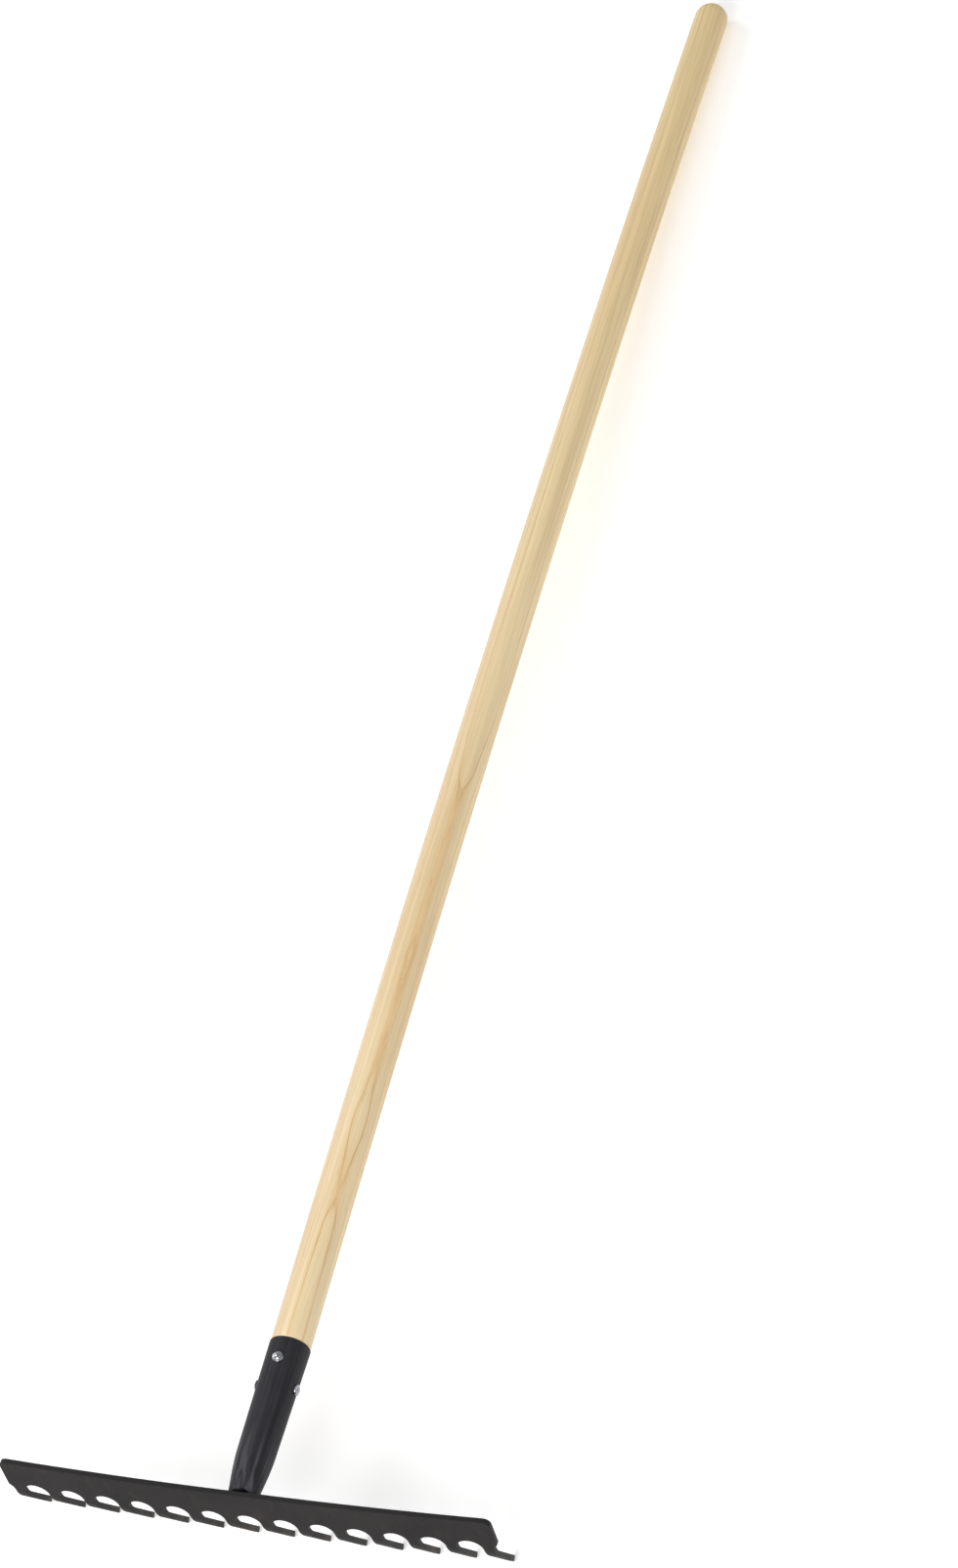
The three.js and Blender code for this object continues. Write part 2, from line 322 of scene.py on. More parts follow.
# Ash: growth rings laid so that they break out along the top of the pole as long tapering loops,
# with fine pores and fibres along it.
ash = {
    "faceAngle": 61.0,  # degrees round the pole where the loops break out
    "pithDepth": 60.0,
    "ringSpacing": 3.1,
    "span": 1420.0,
    "depthRange": (10.0, 15.0),
    # how deep the outer ring lies from the axis line, at stations along the pole, in mm
    "ringDepth": (
        (60, 12.9), (116, 13.05), (160, 13.2), (200, 13.45), (229, 14.05), (246, 13.85), (290, 13.3),
        (318, 13.75), (338, 13.92), (372, 14.1), (404, 13.88), (432, 13.85), (455, 14.08), (510, 14.12),
        (556, 14.08), (575, 13.85), (600, 12.95), (640, 12.0), (700, 11.65), (810, 12.1), (860, 11.9),
        (930, 11.6), (1090, 11.5), (1200, 11.8), (1410, 11.6)),
    # how the rings stray from true, and how far in mm
    "sway": {"scale": (6, 5, 6), "detail": 2.0, "reach": 1.6},
    "wander": {"scale": (20, 28, 20), "detail": 3.0, "shift": (3.1, 0.4, 1.7), "reach": 0.34},
    "tremor": {"scale": (60, 170, 60), "detail": 2.0, "shift": (7.7, 2.2, 0.3), "reach": 0.10},
    # body colour at shares of the span
    "body": ((0.08, (243, 222, 179)), (0.30, (243, 221, 176)), (0.55, (250, 228, 180)),
             (0.80, (250, 225, 171)), (1.0, (246, 223, 168))),
    "drift": {"scale": (25, 3, 25), "detail": 2.0, "shift": (0.5, 3.3, 6.1),
              "range": (0.35, 0.68), "strength": 0.30, "tint": (232, 196, 146)},
    "streak": {"scale": (260, 5, 260), "detail": 3.0, "shift": (4.0, 1.0, 9.0),
               "range": (0.42, 0.66), "strength": 0.28, "tint": (206, 178, 132)},
    "fibre": {"scale": (900, 14, 900), "detail": 4.0,
              "range": (0.40, 0.70), "strength": 0.20, "tint": (196, 164, 118)},
    "pores": {"scale": (1500, 60, 1500), "detail": 2.0, "shift": (2.0, 8.0, 5.0),
              "range": (0.60, 0.74), "strength": 0.42, "tint": (150, 112, 70), "open": 0.18, "inHalo": 0.6},
    # painted rim sheen: the side towards the back lamp is painted paler and greyer, fading towards the grip
    "sideSheen": {"across": (3, -13), "strength": 0.55, "fade": 0.4, "tint": (231, 207, 180)},
    # rings show unevenly along the pole, and broad and soft where they only skim its surface
    "presence": {"scale": (30, 9, 30), "detail": 2.0, "shift": (1.3, 5.0, 2.6), "range": (0.30, 0.62)},
    "skim": (13.6, 14.0),
    "halo": {"width": (0.05, 0.62), "tint": (235, 198, 141),
             "strength": 0.22, "presence": 0.20, "skim": 0.30},
    "line": {"width": (0.02, 0.15), "tint": (196, 156, 102),
             "strength": 0.26, "presence": 0.40, "skim": 0.72},
    "relief": {"fibre": 0.5, "pores": 0.8, "line": 0.3, "streak": 0.2, "strength": 0.35, "distance": 0.0004},
    "roughness": {"least": 0.46, "fibre": 0.14, "pores": 0.12},
    "oil": {"least": 0.24, "fibre": 0.08, "roughness": 0.34, "specular": 0.4},
}


# Distance to the nearest growth ring, and the depth of the outer ring, in mm.
def growthRings(f, across, along, up):
    a = ash
    face = math.radians(a["faceAngle"])
    strays = (a["sway"], a["wander"], a["tremor"])
    sway, wander, tremor = [(f.noise(layer) - 0.5) * layer["reach"] for layer in strays]
    depth = across * math.cos(face) + up * math.sin(face)
    aside = up * math.cos(face) - across * math.sin(face) + sway
    fromPith = ((depth + a["pithDepth"]) ** 2 + aside * aside).root() - a["pithDepth"]
    low, high = a["depthRange"]
    stops = [(y / a["span"], grey((d - low) / (high - low))) for y, d in a["ringDepth"]]
    outerRing = f.ramp(along / a["span"], stops, "EASE") * (high - low) + low
    level = (fromPith - outerRing + wander + tremor) / a["ringSpacing"]
    ring = (level + 0.5).fraction() - 0.5
    return ring.size() * a["ringSpacing"], outerRing


def ashFinish():
    a = ash
    f = Finish("ashWood")
    along, up = f.axis("Y"), f.axis("Z")
    # the grain follows the natural sweep of the pole
    share = (along - handle["shoulder"]) / (handle["length"] - handle["shoulder"])
    across = f.axis("X") + share * (1 - share) * (4 * handle["sweep"])
    nearRing, outerRing = growthRings(f, across, along, up)
    line = 1 - f.between(nearRing, *a["line"]["width"])
    halo = 1 - f.between(nearRing, *a["halo"]["width"])
    skim = f.between(outerRing, *a["skim"])
    presence = f.patches(a["presence"])
    fibre = f.noise(a["fibre"])
    streak = f.noise(a["streak"])
    pores = f.patches(a["pores"]) * (a["pores"]["open"] + halo * a["pores"]["inHalo"])

    base = f.ramp(along / a["span"], [(at, colour(tint)) for at, tint in a["body"]])
    base = f.laid(base, a["drift"])
    sideSheen = a["sideSheen"]
    # painted rim sheen, paler and greyer on the side towards the back lamp
    paintedSideSheen = f.between(across, *sideSheen["across"]) * (sideSheen["strength"] - share * sideSheen["fade"])
    base = f.mix(paintedSideSheen, base, colour(sideSheen["tint"]))
    base = f.laid(base, a["streak"], streak)
    base = f.laid(base, a["fibre"], fibre)
    soft, fine = a["halo"], a["line"]
    haloShown = soft["strength"] + presence * soft["presence"] + skim * soft["skim"]
    base = f.mix(halo * haloShown, base, colour(soft["tint"]))
    lineShown = (fine["strength"] + presence * fine["presence"]) * (1 - skim * fine["skim"])
    base = f.mix(line * lineShown, base, colour(fine["tint"]))
    base = f.mix(pores * a["pores"]["strength"], base, colour(a["pores"]["tint"]))

    relief, rough, oil = a["relief"], a["roughness"], a["oil"]
    height = fibre * relief["fibre"] - pores * relief["pores"]
    height = height - line * relief["line"] + streak * relief["streak"]
    return f.finishWith({
        "Base Color": base,
        "Roughness": rough["least"] + fibre * rough["fibre"] + pores * rough["pores"],
        "Normal": f.bump(height, relief["strength"], relief["distance"]),
        "Coat Weight": oil["least"] + fibre * oil["fibre"],
        "Coat Roughness": oil["roughness"],
        "Specular IOR Level": oil["specular"],
    })


# Head: pressed from 4 mm sheet. The blank is drawn flat, as x along the head and s down the outer face,
# then folded once along its length and bowed a little.
head = {
    "thickness": 4.0,
    "toothCount": 14,
    "pitch": 26.0,
    "rootWidth": 7.5,
    "shoulderWidth": 4.8,
    "pointWidth": 1.4,
    "pointLength": 4.2,
    "shoulderRounding": 1.6,
    "pointRounding": 0.45,
    "roundingSteps": 3,
    "halfWidth": 175.79,
    "cornerRadius": 6.0,
    "cornerSteps": 8,
    "aboveAxis": 9.89,
    "toCrown": 23.7,
    "toFold": 38.5,
    "foldToTip": 45.2,
    "innerFoldRadius": 20.0,
    "plateLean": math.radians(84.6),
    "toothLean": math.radians(112.4),
    "bow": 3.0,
    "flatHalf": 20.0,
    "edge": 0.45,
    "edgeSteps": 4,
    "mitreLimit": 0.5,
    "crownSteps": 24,
    "endCrownSteps": 10,
    # rows cut across the blank so that it folds and bows smoothly
    "foldRows": 16,
    "cuts": (6.0, 14.0, 20.0, 27.0, 52.0, 62.0, 72.0),
    "cutSpacing": 13.0,
    "cutTolerance": 0.0005,
    "edgeDepth": 0.01,
    "flatWeight": 60,
}
plateDown = Vector((-math.cos(head["plateLean"]), -math.sin(head["plateLean"])))
plateOut = Vector((-math.sin(head["plateLean"]), math.cos(head["plateLean"])))
outerBack = plateDown * -head["aboveAxis"] + plateOut * head["thickness"]
foldAngle = head["toothLean"] - head["plateLean"]
foldOuterRadius = head["innerFoldRadius"] + head["thickness"]
foldReach = foldOuterRadius * math.tan(foldAngle / 2)
foldStart = head["toFold"] - foldReach
foldEnd = foldStart + foldOuterRadius * foldAngle
sheetLength = foldEnd + head["foldToTip"] - foldReach


# Outer face and its outward direction at a distance down the sheet, as (y, z).
def sheetAt(s):
    turned = clamp01((s - foldStart) / (foldEnd - foldStart)) * foldAngle
    lean = head["plateLean"] + turned
    out = Vector((-math.sin(lean), math.cos(lean)))
    down = Vector((-math.cos(lean), -math.sin(lean)))
    centre = outerBack + plateDown * foldStart - plateOut * foldOuterRadius
    if s <= foldStart:
        return outerBack + plateDown * s, out
    return centre + out * foldOuterRadius + down * max(0.0, s - foldEnd), out


def bowAt(x):
    beyond = max(0.0, abs(x) - head["flatHalf"]) / (head["halfWidth"] - head["flatHalf"])
    return head["bow"] * beyond ** 2


# Small rounding of one drawn corner.
def roundedCorner(before, corner, after, radius, steps):
    before, corner, after = Vector(before), Vector(corner), Vector(after)
    start = corner + (before - corner).normalized() * radius
    end = corner + (after - corner).normalized() * radius
    shares = [step / steps for step in range(steps + 1)]
    return [start.lerp(corner, t).lerp(corner.lerp(end, t), t) for t in shares]


# Outline of the blank, clockwise from the back left corner.
def blankOutline():
    h = head
    crownRadius = (h["pitch"] - h["rootWidth"]) / 2
    springing = h["toCrown"] + crownRadius
    shoulder = sheetLength - h["pointLength"]
    half, radius = h["halfWidth"], h["cornerRadius"]
    endCentre = h["toothCount"] / 2 * h["pitch"]
    notchAngle = math.degrees(math.acos((half - endCentre) / crownRadius))

    def crownArc(centre, fromAngle, toAngle, steps):
        arc = []
        for i in range(steps + 1):
            a = math.radians(lerp(fromAngle, toAngle, i / steps))
            arc.append(Vector((centre + crownRadius * math.cos(a), springing - crownRadius * math.sin(a))))
        return arc

    points = roundedCorner((-half, radius), (-half, 0), (0, 0), radius, h["cornerSteps"])
    points += roundedCorner((0, 0), (half, 0), (half, radius), radius, h["cornerSteps"])
    points += crownArc(endCentre, notchAngle, 180, h["endCrownSteps"])
    roundings = (h["shoulderRounding"], h["pointRounding"], h["pointRounding"], h["shoulderRounding"])
    for tooth in range(h["toothCount"], 0, -1):
        x = (tooth - (h["toothCount"] + 1) / 2) * h["pitch"]
        root, shoulderHalf, pointHalf = h["rootWidth"] / 2, h["shoulderWidth"] / 2, h["pointWidth"] / 2
        side = [(x + root, springing), (x + shoulderHalf, shoulder), (x + pointHalf, sheetLength),
                (x - pointHalf, sheetLength), (x - shoulderHalf, shoulder), (x - root, springing)]
        for i, rounding in enumerate(roundings, 1):
            points += roundedCorner(side[i - 1], side[i], side[i + 1], rounding, h["roundingSteps"])
        if tooth > 1:
            points += crownArc(x - h["pitch"] / 2, 0, 180, h["crownSteps"])
    points += crownArc(-endCentre, 0, 180 - notchAngle, h["endCrownSteps"])
    return points


# The outline moved inwards by an amount, with mitred corners.
def insetOutline(points, amount):
    moved = []
    for i, point in enumerate(points):
        before = (point - points[i - 1]).normalized()
        after = (points[(i + 1) % len(points)] - point).normalized()
        normalBefore = Vector((-before.y, before.x))
        normalAfter = Vector((-after.y, after.x))
        mitre = (normalBefore + normalAfter).normalized()
        moved.append(point + mitre * amount / max(head["mitreLimit"], mitre.dot(normalAfter)))
    return moved


def makeHead(material):
    h = head
    outline = blankOutline()
    # how far in and how deep each ring of the outline lies, over the rounded edges
    edge = h["edge"]
    levels = [(edge * (1 - math.sin(a)), edge * (1 - math.cos(a))) for a in quarterTurn(h["edgeSteps"])]
    levels += [(inset, h["thickness"] - depth) for inset, depth in reversed(levels)]
    made = bmesh.new()
    rings = []
    for inset, depth in levels:
        rings.append([made.verts.new((p.x, p.y, depth)) for p in insetOutline(outline, inset)])
    count = len(outline)
    for upper, lower in zip(rings, rings[1:]):
        for i in range(count):
            made.faces.new((upper[i], upper[(i + 1) % count], lower[(i + 1) % count], lower[i]))
    made.faces.new(rings[0])
    made.faces.new(list(reversed(rings[-1])))

    def cutAt(place, direction):
        everything = list(made.verts) + list(made.edges) + list(made.faces)
        where = {"plane_co": place, "plane_no": direction, "dist": h["cutTolerance"]}
        bmesh.ops.bisect_plane(made, geom=everything, **where)

    foldRows = [lerp(foldStart, foldEnd, row / h["foldRows"]) for row in range(h["foldRows"] + 1)]
    for down in (*foldRows, *h["cuts"]):
        cutAt((0, down, 0), (0, 1, 0))
    columns = int(h["halfWidth"] // h["cutSpacing"])
    for column in range(-columns, columns + 1):
        cutAt((column * h["cutSpacing"], 0, 0), (1, 0, 0))
    # mask of the edge walls, for the worn edges and for the painted sheen on the back edge
    edgeWear = made.verts.layers.float.new("edgeWear")
    for vert in made.verts:
        x, s, depth = vert.co
        onEdge = min(depth, h["thickness"] - depth) > h["edgeDepth"]
        vert[edgeWear] = 1.0 if onEdge else 0.0
        spot, out = sheetAt(s)
        spot = spot - out * depth
        vert.co = placed((x, spot.x + bowAt(x), spot.y))
    faceOutwards(made)
    mesh = bpy.data.meshes.new("head_plate")
    made.to_mesh(mesh)
    made.free()
    piece = makePiece("head_plate", mesh, material, "rake_head")
    piece.modifiers.new("flatFaces", "WEIGHTED_NORMAL").weight = h["flatWeight"]


# Matt powder paint on the head, thinner and browner at the pressed edges, with a painted sheen along the
# back edge.
headPaint = {
    "dark": (29, 27, 27),
    "light": (37, 34, 34),
    "cloud": {"scale": (18, 22, 22), "detail": 4.0, "range": (0.32, 0.68)},
    "peel": {"scale": (900, 900, 900), "detail": 3.0, "shift": (1, 2, 3)},
    # dust gathers towards the points of the teeth
    "dust": {"scale": (140, 60, 60), "detail": 3.0, "shift": (8, 1, 5),
             "range": (0.5, 0.75), "strength": 0.10, "atPoints": 0.30, "tint": (84, 74, 66)},
    "points": (22, 72),
    "edge": {"range": (0.40, 0.64), "strength": 0.6, "tint": (80, 70, 62)},
    # painted sheen: the back edge is painted a lighter grey than the face, for the light along the top of
    # the plate
    "back": {"range": (-6, -9), "strength": 0.7, "tint": (44, 43, 44)},
    "scuffs": {"scale": (60, 500, 900), "detail": 3.0, "shift": (5, 5, 5),
               "range": (0.64, 0.78), "strength": 0.10, "tint": (96, 92, 90)},
    "roughness": {"least": 0.52, "cloud": 0.10, "peel": 0.10, "edge": 0.08},
    "bumpStrength": 0.30,
    "bumpDistance": 0.0002,
    "specular": 0.12,
}


def headFinish():
    p = headPaint
    f = Finish("headPowderPaint")
    cloud, peel, dust = (f.noise(p[name]) for name in ("cloud", "peel", "dust"))
    edge = f.add("ShaderNodeAttribute", {"attribute_name": "edgeWear"}, out="Fac")
    low = f.axis("Z") * -1
    towardPoints = f.between(low, *p["points"])
    base = f.mix(f.patches(p["cloud"], cloud), colour(p["dark"]), colour(p["light"]))
    dusty = f.patches(p["dust"], dust) * (p["dust"]["strength"] + towardPoints * p["dust"]["atPoints"])
    base = f.mix(dusty, base, colour(p["dust"]["tint"]))
    wornEdge = edge * f.patches(p["edge"], dust) * towardPoints * p["edge"]["strength"]
    base = f.mix(wornEdge, base, colour(p["edge"]["tint"]))
    # painted sheen along the back edge of the plate
    backEdgeSheen = edge * f.between(low, *p["back"]["range"]) * p["back"]["strength"]
    base = f.mix(backEdgeSheen, base, colour(p["back"]["tint"]))
    base = f.laid(base, p["scuffs"])
    rough = p["roughness"]
    return f.finishWith({
        "Base Color": base,
        "Roughness": rough["least"] + cloud * rough["cloud"] + peel * rough["peel"] - edge * rough["edge"],
        "Normal": f.bump(peel, p["bumpStrength"], p["bumpDistance"]),
        "Specular IOR Level": p["specular"],
    })


# Socket: a drawn steel tube, round at the mouth and pinched to a fluted oval neck against the plate.
socket = {
    "length": 115.8,
    "mouthRadius": 14.4,
    "endRadius": 13.2,
    "wall": 1.7,
    "neckStart": 36.0,
    "neckHalfWidth": 10.2,
    "neckHalfHeight": 7.4,
    "neckFullness": 0.6,
    "flute": 1.5,
    "fluteSharpness": 8,
    "notchDepth": 5.0,
    "notchRadius": 9.5,
    "notchFade": 16.0,
    "notchEase": 1.0,
    "notchFrom": 0.3,
    "notchBlend": 0.15,
    "squeeze": 4.4,
    "squeezeEnd": 30.0,
    "lip": 0.6,
    "boreLip": 0.3,
    "lipSteps": 4,
    "throatSteps": 4,
    "sides": 160,
    "neckRow": 1.0,
    "bodyRow": 3.0,
    "fineRowsTo": 54.0,
    # folds pressed into the neck: degrees round it, width in degrees and depth in mm
    "grooves": ((60, 8, 0.6), (100, 9, 0.75), (138, 11, 0.5), (22, 12, 0.3)),
    "groovesEnd": 52.0,
}


def plateFaceAt(z):
    return z * plateDown.x / plateDown.y


def neckBlend(y):
    t = clamp01(1 - y / socket["neckStart"])
    return t * t * (1 + socket["neckFullness"] - socket["neckFullness"] * t)


def socketRadiusAt(y):
    t = clamp01((y - socket["neckStart"]) / (socket["length"] - socket["neckStart"]))
    return lerp(socket["endRadius"], socket["mouthRadius"], t)


def socketPoint(y, angle, inset):
    s = socket
    t = neckBlend(y)
    radius = socketRadiusAt(y)
    groove = 0.0
    for at, width, depth in s["grooves"]:
        away = (math.degrees(angle) - at) / width
        groove += depth * math.exp(-away * away)
    groove *= smoothRise(1 - y / s["groovesEnd"])
    halfWidth = lerp(radius, s["neckHalfWidth"], t) - inset - groove
    halfHeight = lerp(radius, s["neckHalfHeight"], t) - inset - groove
    flute = s["flute"] * t * max(0.0, math.sin(angle)) ** s["fluteSharpness"]
    z = halfHeight * math.sin(angle) - flute
    return Vector((halfWidth * math.cos(angle), y + t * plateFaceAt(z), z))


# Where the tube's near end starts: at the plate, or at the half-round notch across its top.
def neckEndAt(angle, inset):
    s = socket
    x = socketPoint(0, angle, inset).x
    reach = s["notchRadius"] ** 2 - x * x
    notch = s["notchDepth"] - s["notchRadius"] + math.sqrt(max(0.0, reach))
    upper = smoothRise((math.sin(angle) - s["notchFrom"]) / s["notchBlend"])
    return clearance + max(0.0, notch - s["notchEase"]) * upper


def socketRing(y, inset):
    ring = []
    for side in range(socket["sides"]):
        angle = 2 * math.pi * side / socket["sides"]
        shift = (neckEndAt(angle, inset) - clearance) * (1 - smoothRise(y / socket["notchFade"]))
        ring.append(socketPoint(y + shift, angle, inset))
    return ring


# The bore closes up where the tube is squeezed into the neck.
def boreInset(y):
    return socket["wall"] + socket["squeeze"] * (1 - smoothRise(y / socket["squeezeEnd"]))


def makeSocket(material):
    s = socket
    length, lip, boreLip = s["length"], s["lip"], s["boreLip"]
    heights = []
    y = clearance + lip
    while y < length - lip:
        y += s["neckRow"] if y < s["fineRowsTo"] else s["bodyRow"]
        heights.append(y)
    heights.pop()
    lipAngles = quarterTurn(s["lipSteps"])
    rings = []
    for a in reversed(lipAngles):
        rings.append(socketRing(clearance + lip * (1 - math.sin(a)), lip * (1 - math.cos(a))))
    rings += [socketRing(y, 0) for y in heights]
    for a in lipAngles:
        rings.append(socketRing(length - lip * (1 - math.sin(a)), lip * (1 - math.cos(a))))
    for a in lipAngles:
        inset = s["wall"] - boreLip * (1 - math.sin(a))
        rings.append(socketRing(length - boreLip * (1 - math.cos(a)), inset))
    rings += [socketRing(y, boreInset(y)) for y in reversed(heights)]
    for step in range(s["throatSteps"]):
        rings.append(socketRing(clearance, lerp(boreInset(clearance), lip, step / s["throatSteps"])))
    mesh = meshFrom("socket_tube", joined(rings), ringFaces(rings, closed=True))
    makePiece("socket_tube", mesh, material, "socket")


# Black enamel over drawn steel, for the socket, with painted highlight streaks along it and on the neck.
socketPaint = {
    "dark": (26, 26, 29),
    "light": (49, 49, 54),
    # drawn steel texture; in the colour its lighter streaks are also painted highlight streaks
    "drawn": {"scale": (420, 9, 420), "detail": 3.0, "shift": (2, 5, 1),
              "range": (0.3, 0.7), "strength": 0.6},
    "cloud": {"scale": (34, 22, 34), "detail": 3.0, "shift": (6, 1, 4),
              "range": (0.3, 0.7), "strength": 0.4},
    "grain": {"scale": (2600, 2600, 2600), "detail": 2.0},
    # painted highlight streaks along the folds of the neck, lightening it towards the plate
    "neckSheenStreaks": {"scale": (230, 7, 230), "detail": 1.0, "shift": (5, 2, 8),
                "range": (0.46, 0.60), "strength": 0.75, "tint": (74, 72, 77)},
    "neck": (22, 58),
    "specks": {"scale": (700, 700, 700), "detail": 2.0, "shift": (9, 3, 3), "range": (0.68, 0.76)},
    # bare steel at the mouth's rim
    "rim": (1.4, 0.2),
    "wear": {"range": (0.42, 0.7), "strength": 0.3, "specks": 0.10, "tint": (92, 88, 84)},
    "roughness": {"least": 0.46, "drawn": 0.10, "cloud": 0.10},
    "relief": {"drawn": 0.7, "grain": 0.3, "strength": 0.25, "distance": 0.00025},
    "specular": 0.22,
}


def socketFinish():
    p = socketPaint
    f = Finish("socketEnamel")
    drawn, cloud = f.noise(p["drawn"]), f.noise(p["cloud"])
    along = f.axis("Y")
    # partly the steel's own streaky tone and partly painted highlight streaks along the socket
    tone = f.patches(p["drawn"], drawn) * p["drawn"]["strength"]
    tone = tone + f.patches(p["cloud"], cloud) * p["cloud"]["strength"]
    base = f.mix(tone, colour(p["dark"]), colour(p["light"]))
    # painted highlight streaks on the neck
    neckSheenStreaks = (1 - f.between(along, *p["neck"])) * f.patches(p["neckSheenStreaks"]) * p["neckSheenStreaks"]["strength"]
    base = f.mix(neckSheenStreaks, base, colour(p["neckSheenStreaks"]["tint"]))
    rim = f.between(along, socket["length"] - p["rim"][0], socket["length"] - p["rim"][1])
    wear, rough, relief = p["wear"], p["roughness"], p["relief"]
    worn = rim * f.patches(wear, cloud) * wear["strength"] + f.patches(p["specks"]) * wear["specks"]
    base = f.mix(worn, base, colour(wear["tint"]))
    height = drawn * relief["drawn"] + f.noise(p["grain"]) * relief["grain"]
    return f.finishWith({
        "Base Color": base,
        "Roughness": rough["least"] + drawn * rough["drawn"] + cloud * rough["cloud"],
        "Normal": f.bump(height, relief["strength"], relief["distance"]),
        "Specular IOR Level": p["specular"],
    })


# Weld bead: a rippled fillet around the sides and underside of the neck, against the plate.
weld = {
    "width": 3.0,
    "startAngle": 158.0,
    "endAngle": 382.0,
    "steps": 240,
    "filletSteps": 8,
    "hollow": 0.9,
    "ripples": 30,
    "rippleHeight": 0.09,
    "rippleSharpness": 0.6,
    "wobble": 0.05,
    "wobbles": 9,
    "endTaper": 22.0,
    "endWidth": 0.08,
}


def makeWeld(material):
    w = weld
    rings = []
    for step in range(w["steps"] + 1):
        along = step / w["steps"]
        angle = math.radians(lerp(w["startAngle"], w["endAngle"], along))
        outward = Vector((math.cos(angle), 0, math.sin(angle)))
        neck = socketPoint(w["width"], angle, 0)
        # each puddle of weld rises sharply and falls away slowly
        ripple = (along * w["ripples"]) % 1.0
        swell = 1 - w["rippleHeight"] * (ripple ** w["rippleSharpness"])
        swell -= w["wobble"] * (1 + math.sin(angle * w["wobbles"]))
        ends = math.sqrt(clamp01(min(along, 1 - along) * w["endTaper"] + w["endWidth"]))
        width, hollow = w["width"] * swell * ends, w["hollow"]
        section = [(0.0, 0.0), (width, 0.0)]  # distance from the neck and from the plate
        for a in quarterTurn(w["filletSteps"])[1:]:
            section.append((width * (1 - hollow * math.sin(a)), width * (1 - hollow * math.cos(a))))
        ring = []
        for reach, rise in section:
            point = neck + outward * (clearance + reach)
            ring.append(Vector((point.x, clearance + plateFaceAt(point.z) + rise, point.z)))
        rings.append(ring)
    mesh = meshFrom("neck_weld", joined(rings), ringFaces(rings) + endFaces(rings))
    makePiece("neck_weld", mesh, material, "weld_bead")


# Rivets: through rivets with a flanged, domed head on each side, seated on the curve of the socket.
rivet = {
    "topFromMouth": 16.0,
    "sideFromMouth": 31.8,
    "shankRadius": 2.4,
    "shankSunk": 0.3,
    "headRadius": 3.9,
    "headHeight": 1.99,
    "sides": 64,
    # the rim hugs the socket up to this share of the height, and the crown is level from there on
    "rimRise": 0.16,
    "rimBlend": 0.3,
    "rimGap": 0.05,
    "rimDrop": 0.1,
    "rimSlope": 0.6,
    # radius and height of the head, as shares of its radius and height, from the rim to the crown
    "profile": (
        (0.955, -0.25), (0.99, 0.0), (1.0, 0.16), (0.985, 0.30), (0.93, 0.41), (0.86, 0.47),
        (0.79, 0.49), (0.72, 0.48), (0.66, 0.49), (0.60, 0.56), (0.55, 0.66), (0.48, 0.78),
        (0.38, 0.88), (0.26, 0.95), (0.13, 0.99), (0.0, 1.0)),
}


def rivetHeight(stationY, across, rise):
    r = rivet
    surface = math.sqrt(socketRadiusAt(stationY) ** 2 - across * across)
    if rise is None:
        return surface - r["shankSunk"]
    if rise <= r["rimRise"]:
        return surface + r["rimGap"] + (rise + r["rimDrop"]) * r["rimSlope"]
    seat = socketRadiusAt(stationY) + clearance
    return lerp(surface, seat, smoothRise((rise - r["rimRise"]) / r["rimBlend"])) + rise * r["headHeight"]


def makeRivet(name, fromMouth, axisTurn, material, node):
    r = rivet
    stationY = socket["length"] - fromMouth
    profile = [(r["shankRadius"], None)] + [(share * r["headRadius"], rise) for share, rise in r["profile"]]
    rings = []
    for sign, stations in ((1, reversed(profile)), (-1, profile)):
        for radius, rise in stations:
            ring = []
            for side in range(r["sides"]):
                a = 2 * math.pi * side / r["sides"]
                across, along = radius * math.cos(a), radius * math.sin(a)
                height = sign * rivetHeight(stationY, across, rise)
                ring.append(axisTurn @ Vector((across, stationY + along, height)))
            rings.append(ring)
    makePiece(name, meshFrom(name, joined(rings), ringFaces(rings)), material, node)


zinc = {
    "bright": (184, 185, 190),
    "dull": (132, 132, 138),
    "cloud": {"scale": (300, 300, 300), "detail": 3.0, "range": (0.35, 0.7)},
    "scratch": {"scale": (1200, 4200, 1200), "detail": 3.0, "shift": (3, 1, 2)},
    "paintedBeyond": (-12.6, -13.4),  # the left side head is dressed over with the socket's paint
    "roughness": {"least": 0.14, "cloud": 0.14, "scratch": 0.08, "paint": 0.2},
    "bumpStrength": 0.15,
    "bumpDistance": 0.0001,
}


def zincFinish():
    z = zinc
    f = Finish("brightZinc")
    cloud, scratch = f.noise(z["cloud"]), f.noise(z["scratch"])
    base = f.mix(f.patches(z["cloud"], cloud), colour(z["bright"]), colour(z["dull"]))
    paint = f.between(f.axis("X"), *z["paintedBeyond"])
    base = f.mix(paint, base, colour(socketPaint["light"]))
    rough = z["roughness"]
    roughness = rough["least"] + cloud * rough["cloud"] + scratch * rough["scratch"]
    return f.finishWith({
        "Base Color": base,
        "Metallic": 1 - paint,
        "Roughness": roughness + paint * rough["paint"],
        "Normal": f.bump(scratch, z["bumpStrength"], z["bumpDistance"]),
    })


ashWood = ashFinish()
socketEnamel = socketFinish()
headPowder = headFinish()
brightZinc = zincFinish()
print("finishes mixed")

makeHandle(ashWood)
makeHead(headPowder)
makeSocket(socketEnamel)
makeWeld(headPowder)
sideways = Matrix.Rotation(math.radians(90), 3, "Y")
makeRivet("rivet_top", rivet["topFromMouth"], Matrix.Identity(3), brightZinc, "top_rivet")
makeRivet("rivet_side", rivet["sideFromMouth"], sideways, brightZinc, "side_rivet")

# Studio: a pale floor, a soft surround and broad lamps.
studio = {
    "floorSize": 16.0,
    "floorGlow": 0.36,
    "floorMottle": {"scale": (3, 3, 3), "detail": 3.0},
    "floorTones": (0.90, 0.93),
    "floorRoughness": (0.85, 0.1),
    "surround": 0.36,
    "lamps": (
        # azimuth, elevation, distance, size, power
        ("lampKey", -5, 38, 3.2, 2.0, 62),
        ("lampFill", 95, 50, 3.4, 2.0, 10),
        ("lampBack", 250, 42, 3.6, 1.6, 32),
    ),
}


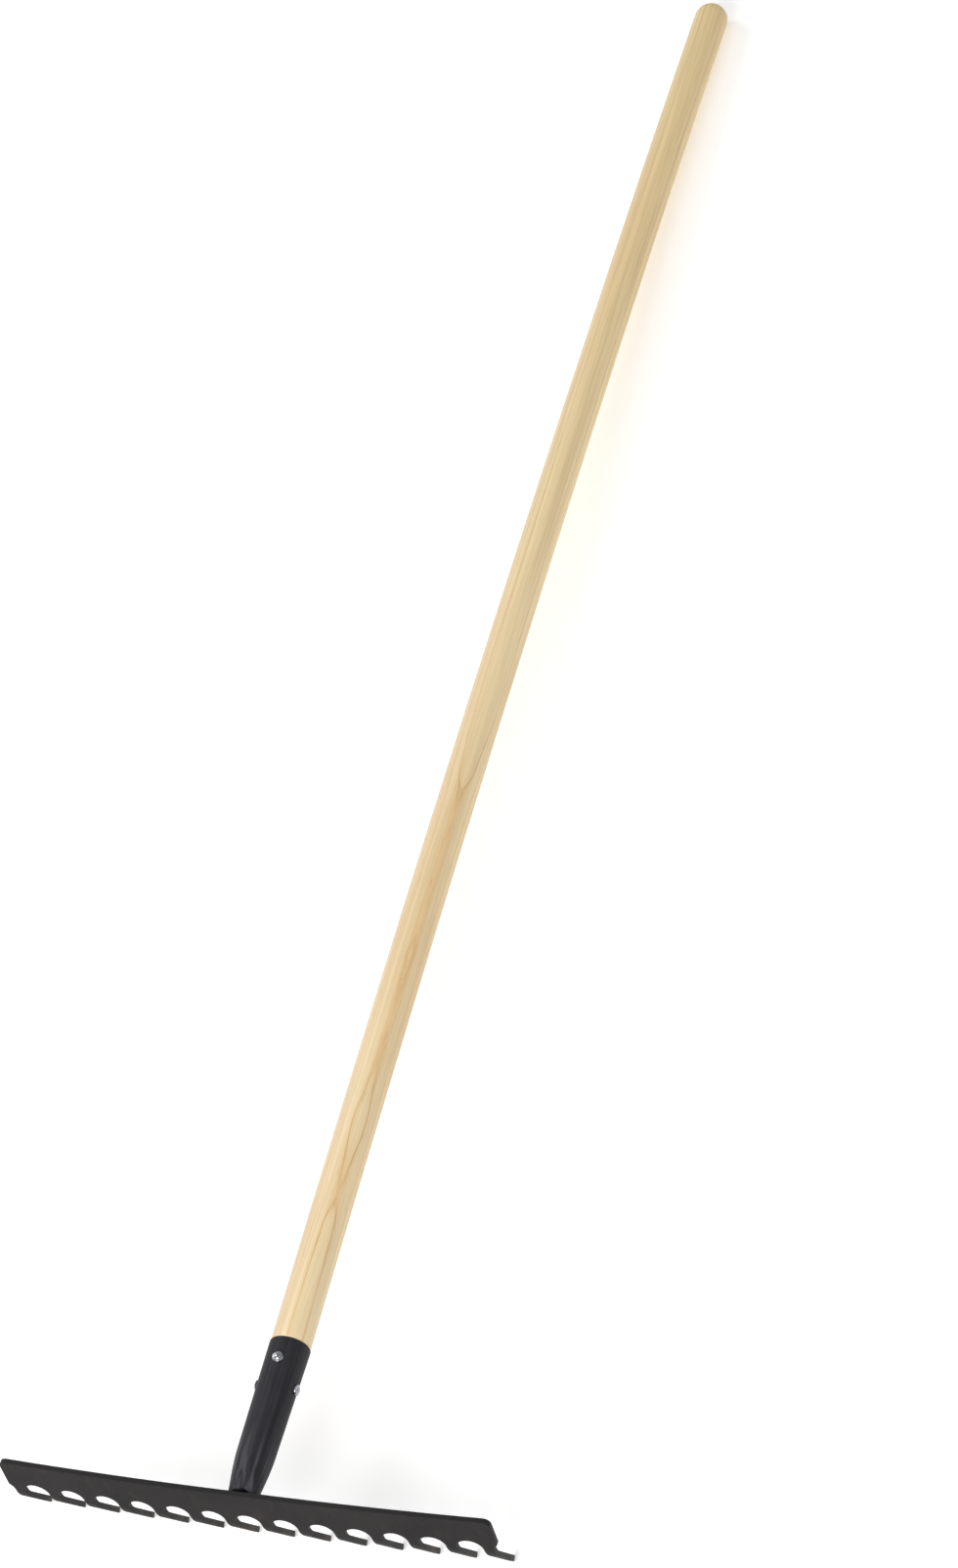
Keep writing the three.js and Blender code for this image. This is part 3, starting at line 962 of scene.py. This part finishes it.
def makeFloor():
    s = studio
    half = s["floorSize"] / 2
    mesh = bpy.data.meshes.new("floor")
    corners = [(-half, -half, 0), (half, -half, 0), (half, half, 0), (-half, half, 0)]
    mesh.from_pydata(corners, [], [(0, 1, 2, 3)])
    f = Finish("floorPaper")
    mottle = f.noise(s["floorMottle"])
    base = f.mix(mottle, *[grey(tone) for tone in s["floorTones"]])
    smoothest, spread = s["floorRoughness"]
    mesh.materials.append(f.finishWith({
        "Base Color": base,
        "Roughness": smoothest + mottle * spread,
        "Emission Color": base,
        "Emission Strength": s["floorGlow"],
    }))
    floor = bpy.data.objects.new("floor", mesh)
    bpy.context.scene.collection.objects.link(floor)


def directionFrom(azimuth, elevation):
    a, e = math.radians(azimuth), math.radians(elevation)
    return Vector((math.sin(a) * math.cos(e), -math.cos(a) * math.cos(e), math.sin(e)))


def makeLamps():
    for name, azimuth, elevation, distance, size, power in studio["lamps"]:
        lamp = bpy.data.lights.new(name, "AREA")
        lamp.shape = "DISK"
        lamp.size = size
        lamp.energy = power
        holder = bpy.data.objects.new(name, lamp)
        direction = directionFrom(azimuth, elevation)
        holder.location = direction * distance
        holder.rotation_euler = direction.to_track_quat("Z", "Y").to_euler()
        bpy.context.scene.collection.objects.link(holder)
    world = bpy.data.worlds.new("surround")
    world.use_nodes = True
    background = world.node_tree.nodes["Background"]
    background.inputs["Color"].default_value = grey(1.0)
    background.inputs["Strength"].default_value = studio["surround"]
    bpy.context.scene.world = world


viewpoint = {
    "target": (0.00496, -0.1052, 0.04),
    "azimuth": 33.758,
    "elevation": 51.492,
    "distance": 3.1165,
    "roll": 24.103,
    "sensor": 36.0,
    "lens": 97.12,
    "clipEnd": 50.0,
}


def makeCamera():
    v = viewpoint
    camera = bpy.data.cameras.new("camera")
    camera.sensor_width = v["sensor"]
    camera.lens = v["lens"]
    camera.clip_end = v["clipEnd"]
    back = directionFrom(v["azimuth"], v["elevation"])
    forward = -back
    level = (Vector((0, 0, 1)) - forward * forward.z).normalized()
    level.rotate(Matrix.Rotation(math.radians(v["roll"]), 3, forward))
    right = forward.cross(level)
    turn = Matrix((right, level, back)).transposed().to_4x4()
    holder = bpy.data.objects.new("camera", camera)
    holder.matrix_world = Matrix.Translation(Vector(v["target"]) + back * v["distance"]) @ turn
    bpy.context.scene.collection.objects.link(holder)
    bpy.context.scene.camera = holder


makeFloor()
makeLamps()
makeCamera()
bpy.context.scene.view_settings.view_transform = "Standard"
print("studio ready")

bpy.context.view_layer.update()
